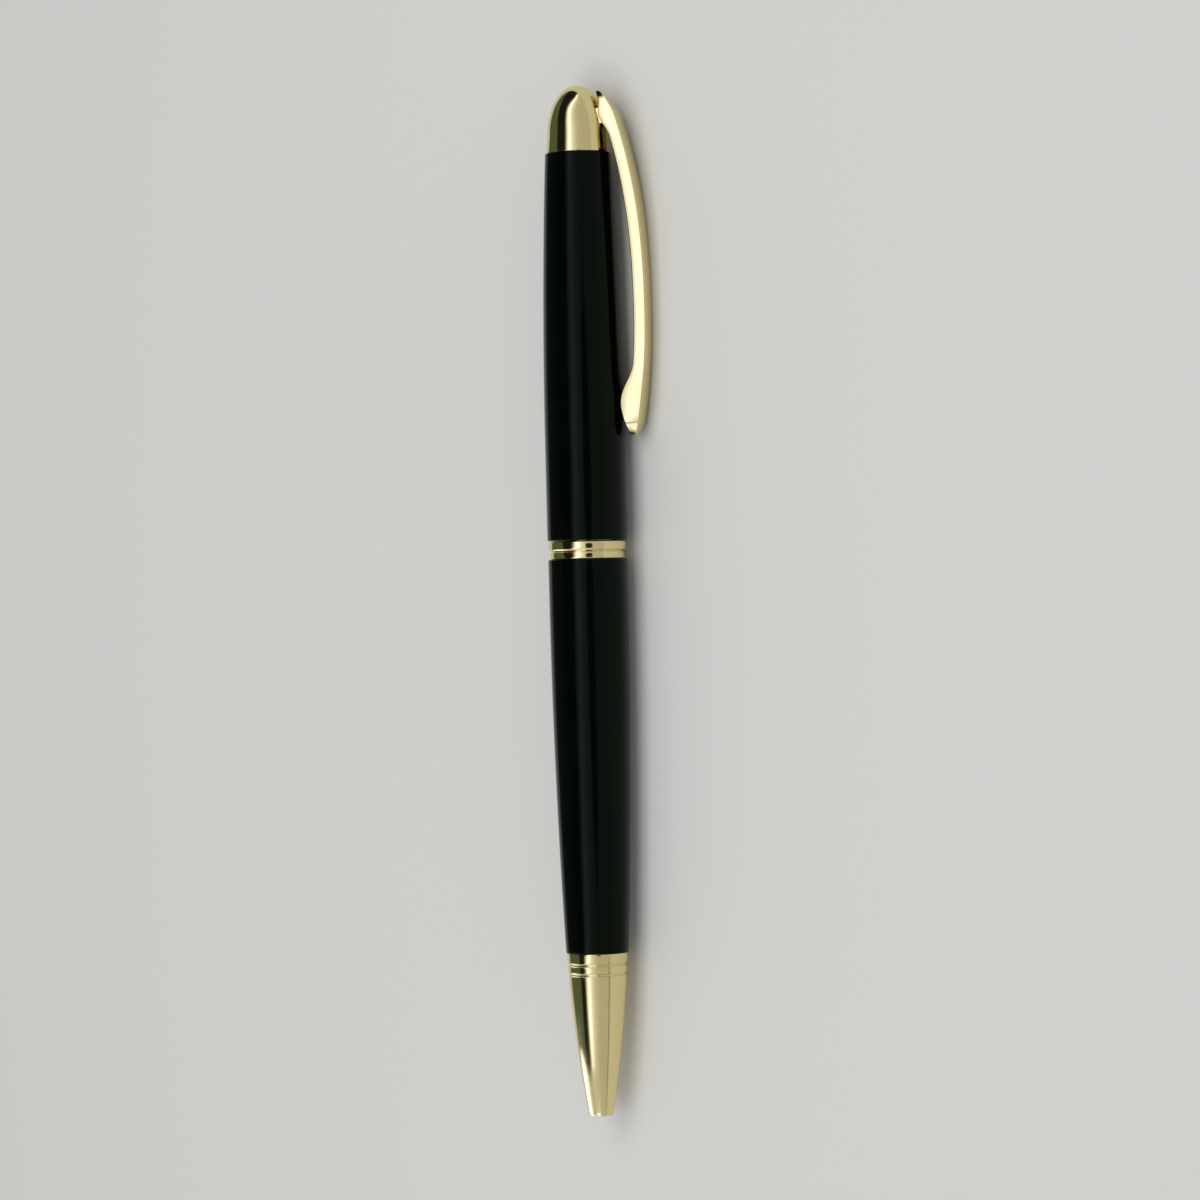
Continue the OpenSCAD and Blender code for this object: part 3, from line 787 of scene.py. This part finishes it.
spring = fit(make_return_spring(), "return_spring", "lower", "spring_steel")
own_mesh(spring)

for part in record["subparts"]:
    node = frame["nodes"][part["node"]]
    for slot in node.material_slots:
        slot.material = LOOKS[part["material_slot"]]


# ---- Studio, in metres ----

CLIP_TURN = radians(16)     # how far the clip is turned from edge-on towards the camera
LEAN = radians(1.42)        # the pen leans this much to the left in the picture
VIEW_BEARING = ROLL + CLIP_TURN     # of the camera round the axis, from up towards +X
LENS = 135
FRAME_FILL = 0.86           # share of the picture's height that the pen takes
FLOOR_R, FLOOR_SIDES = 3, 96
FLOOR_COLOUR = (0.80, 0.80, 0.79, 1)
WORLD_COLOUR = (0.44, 0.44, 0.43, 1)
KEY_BEARING, KEY_DISTANCE = radians(9), 0.48
KEY_WIDTH, KEY_LENGTH = 0.28, 0.9
KEY_RADIANCE = 1.6
middle = (cad_low + cad_high) / 2


def bearing(angle):
    """Unit vector at an angle round the pen's axis, from up towards +X."""
    return Vector((sin(angle), 0, cos(angle)))


def turned(across, along, out):
    """The matrix that turns an object's own X, Y and Z to three directions."""
    return Matrix((across, along, out)).transposed().to_4x4()


# Painted reflections: what the pen mirrors from the hood, by bearing in degrees and by slope, the
# sine of the angle along the pen towards its top. From left to right the hood is painted with a
# dim side, a black screen, a window, and the plain wall.
# The tables hold straight stretches between their (place, value) stations.

HOOD_R = 0.9
HOOD_HALF_TURN, HOOD_TURNS = 92, 184            # degrees either way, and steps
HOOD_HALF_RISE, HOOD_RISES = 88, 528

# The painted black screen's left and right edge, a painted dark band on the pen: their bearings by
# slope
PAINTED_SCREEN_EDGE = [(-0.42, -49), (-0.27, -32), (0, -38), (0.35, -44), (0.69, -56), (0.88, -75),
               (0.95, -95)]
PAINTED_WINDOW_EDGE = [(-0.55, -22), (-0.4, -19), (-0.27, -15), (-0.12, -10), (0, -7), (0.3, -8),
               (0.5, -11), (0.62, -13), (0.7, -13), (0.76, -10), (0.82, -5), (0.88, 3),
               (0.93, 15), (0.98, 32), (0.995, 90)]
# Brightness by degrees from the painted window's edge: the screen, the painted window that gives
# the pen its bright strips, and the wall after it
PAINTED_WINDOW = [(0, 0.012), (3, 0.25), (8, 0.8), (14, 1.5), (20, 1.5), (30, 0.93), (42, 0.66),
          (56, 0.55), (70, 0.52)]
# The wall beyond the pen's point: the slope that it comes up to, and its brightness, by bearing.
# Its bright stretch at the left is a painted highlight on the nose.
LOW_EDGE = [(-81, -0.28), (-34, -0.388), (5, -0.415), (40, -0.44)]
PAINTED_LOW_WALL = [(-66, 2.2), (-54, 1.5), (-42, 0.85), (-30, 0.62), (20, 0.6), (60, 0.55)]
# A painted bright patch in that wall, which puts a painted highlight on the clip's end
FOOT_SLOPE, FOOT_TURN, FOOT_HALF = -0.5, 14, 20
FOOT_LEVEL = 1.3
# A painted thin grey line in that wall, which puts a painted dark line on the nose
LINE_SLOPE, LINE_FROM, LINE_TO = -0.243, 83.5, 87
LINE_LEVEL = 0.16

# Painted dim olive reflection along the pen's left edge
PAINTED_DIM_SIDE = (0.09, 0.12, 0.085)
WALL_LEVEL, COOL_LEVEL = 0.52, 1.3              # light gets cooler between these
GREEN_GAIN, BLUE_GAIN = 0.05, 0.5
# A painted dark disc in front of the wall, a painted reflection of the camera
PAINTED_CAMERA_TURN = degrees(VIEW_BEARING) + 4.5
PAINTED_CAMERA_SIZE, PAINTED_CAMERA_BLUR = 8.5, 4               # degrees from its centre to its edge, and softness
PAINTED_CAMERA_LEVEL = 0.04                             # share of the wall's light that it leaves


def curve(stations, x):
    """Value at x of straight lines through a list of (x, value), level beyond its ends."""
    for (x0, y0), (x1, y1) in zip(stations, stations[1:]):
        if x <= x1:
            return y0 + (y1 - y0) * max(0, x - x0) / (x1 - x0)
    return stations[-1][1]


def glow(turn, slope):
    """Colour of the painted reflection that the pen mirrors from a direction: daylight, cooler
    where it is brighter.
    """
    if slope < FOOT_SLOPE and abs(turn - FOOT_TURN) < FOOT_HALF:
        level = FOOT_LEVEL
    elif slope < curve(LOW_EDGE, turn):
        level = curve(PAINTED_LOW_WALL, turn)
    elif turn < curve(PAINTED_SCREEN_EDGE, slope):
        return PAINTED_DIM_SIDE
    else:
        level = curve(PAINTED_WINDOW, turn - curve(PAINTED_WINDOW_EDGE, slope))
    if slope < LINE_SLOPE and LINE_FROM < turn < LINE_TO:
        level = LINE_LEVEL
    off = hypot(turn - PAINTED_CAMERA_TURN, degrees(asin(slope)))
    level *= smooth(PAINTED_CAMERA_LEVEL, 1, (off - PAINTED_CAMERA_SIZE) / PAINTED_CAMERA_BLUR)
    cool = max(0, min(level, COOL_LEVEL) - WALL_LEVEL)
    return level, level * (1 + GREEN_GAIN * cool), level * (1 + BLUE_GAIN * cool)


def make_painted_hood():
    """A glowing shell round the pen, painted with reflections and seen only as reflections in it.
    """
    bm = bmesh.new()
    layer = bm.verts.layers.float_color.new("glow")
    rows = []
    for turn in line_up(-HOOD_HALF_TURN, HOOD_HALF_TURN, HOOD_TURNS):
        rows.append([])
        for rise in line_up(-HOOD_HALF_RISE, HOOD_HALF_RISE, HOOD_RISES):
            slope = sin(radians(rise))
            out = bearing(radians(turn)) * cos(radians(rise)) + ALONG * slope
            vert = bm.verts.new(middle + out * HOOD_R)
            vert[layer] = (*glow(turn, slope), 1)
            rows[-1].append(vert)
    for a, b in zip(rows, rows[1:]):
        for k in range(HOOD_RISES):
            bm.faces.new((a[k], a[k + 1], b[k + 1], b[k]))
    hood = finish_mesh("painted_reflection_hood", bm)
    material = node_material("painted_reflection_hood")
    nodes, links = material.node_tree.nodes, material.node_tree.links
    nodes.remove(nodes["Principled BSDF"])
    colour = nodes.new("ShaderNodeAttribute")
    colour.attribute_name = "glow"
    emission = nodes.new("ShaderNodeEmission")
    links.new(colour.outputs["Color"], emission.inputs["Color"])
    links.new(emission.outputs["Emission"], nodes["Material Output"].inputs["Surface"])
    material.cycles.emission_sampling = "NONE"
    hood.data.materials.append(material)
    hood.visible_camera = False
    hood.visible_diffuse = False
    hood.visible_transmission = False
    hood.visible_shadow = False


def make_floor():
    """A matte disc under the pen."""
    bm = bmesh.new()
    bmesh.ops.create_circle(bm, cap_ends=True, segments=FLOOR_SIDES, radius=FLOOR_R)
    bmesh.ops.translate(bm, vec=(0, 0, cad_low.z), verts=bm.verts)
    floor = finish_mesh("floor", bm)
    material = node_material("floor_pale")
    shader = material.node_tree.nodes["Principled BSDF"]
    shader.inputs["Base Color"].default_value = FLOOR_COLOUR
    shader.inputs["Roughness"].default_value = 1
    shader.inputs["Specular IOR Level"].default_value = 0
    floor.data.materials.append(material)


def make_key_light():
    """A soft rectangular light over the pen. The hood takes its place in reflections."""
    lamp = bpy.data.lights.new("key", "AREA")
    lamp.shape = "RECTANGLE"
    lamp.size, lamp.size_y = KEY_WIDTH, KEY_LENGTH
    lamp.energy = KEY_RADIANCE * pi * KEY_WIDTH * KEY_LENGTH
    light = bpy.data.objects.new("key", lamp)
    out = bearing(KEY_BEARING)
    light.matrix_world = turned(ALONG.cross(out), ALONG, out)
    light.location = middle + out * KEY_DISTANCE
    light.visible_camera = False
    light.visible_glossy = False
    bpy.context.scene.collection.objects.link(light)


def make_camera():
    data = bpy.data.cameras.new("camera")
    data.lens = LENS
    camera = bpy.data.objects.new("camera", data)
    back = bearing(VIEW_BEARING)
    level_right = ALONG.cross(back)
    up = ALONG * cos(LEAN) + level_right * sin(LEAN)
    right = level_right * cos(LEAN) - ALONG * sin(LEAN)
    seen = (cad_high.y - cad_low.y) / FRAME_FILL
    camera.matrix_world = turned(right, up, back)
    camera.location = middle + back * seen * LENS / data.sensor_width
    bpy.context.scene.collection.objects.link(camera)
    bpy.context.scene.camera = camera


def make_world():
    world = bpy.data.worlds.new("studio")
    world.use_nodes = True
    world.node_tree.nodes["Background"].inputs["Color"].default_value = WORLD_COLOUR
    bpy.context.scene.world = world
    bpy.context.scene.view_settings.view_transform = "Standard"


make_floor()
make_painted_hood()
make_key_light()
make_camera()
make_world()
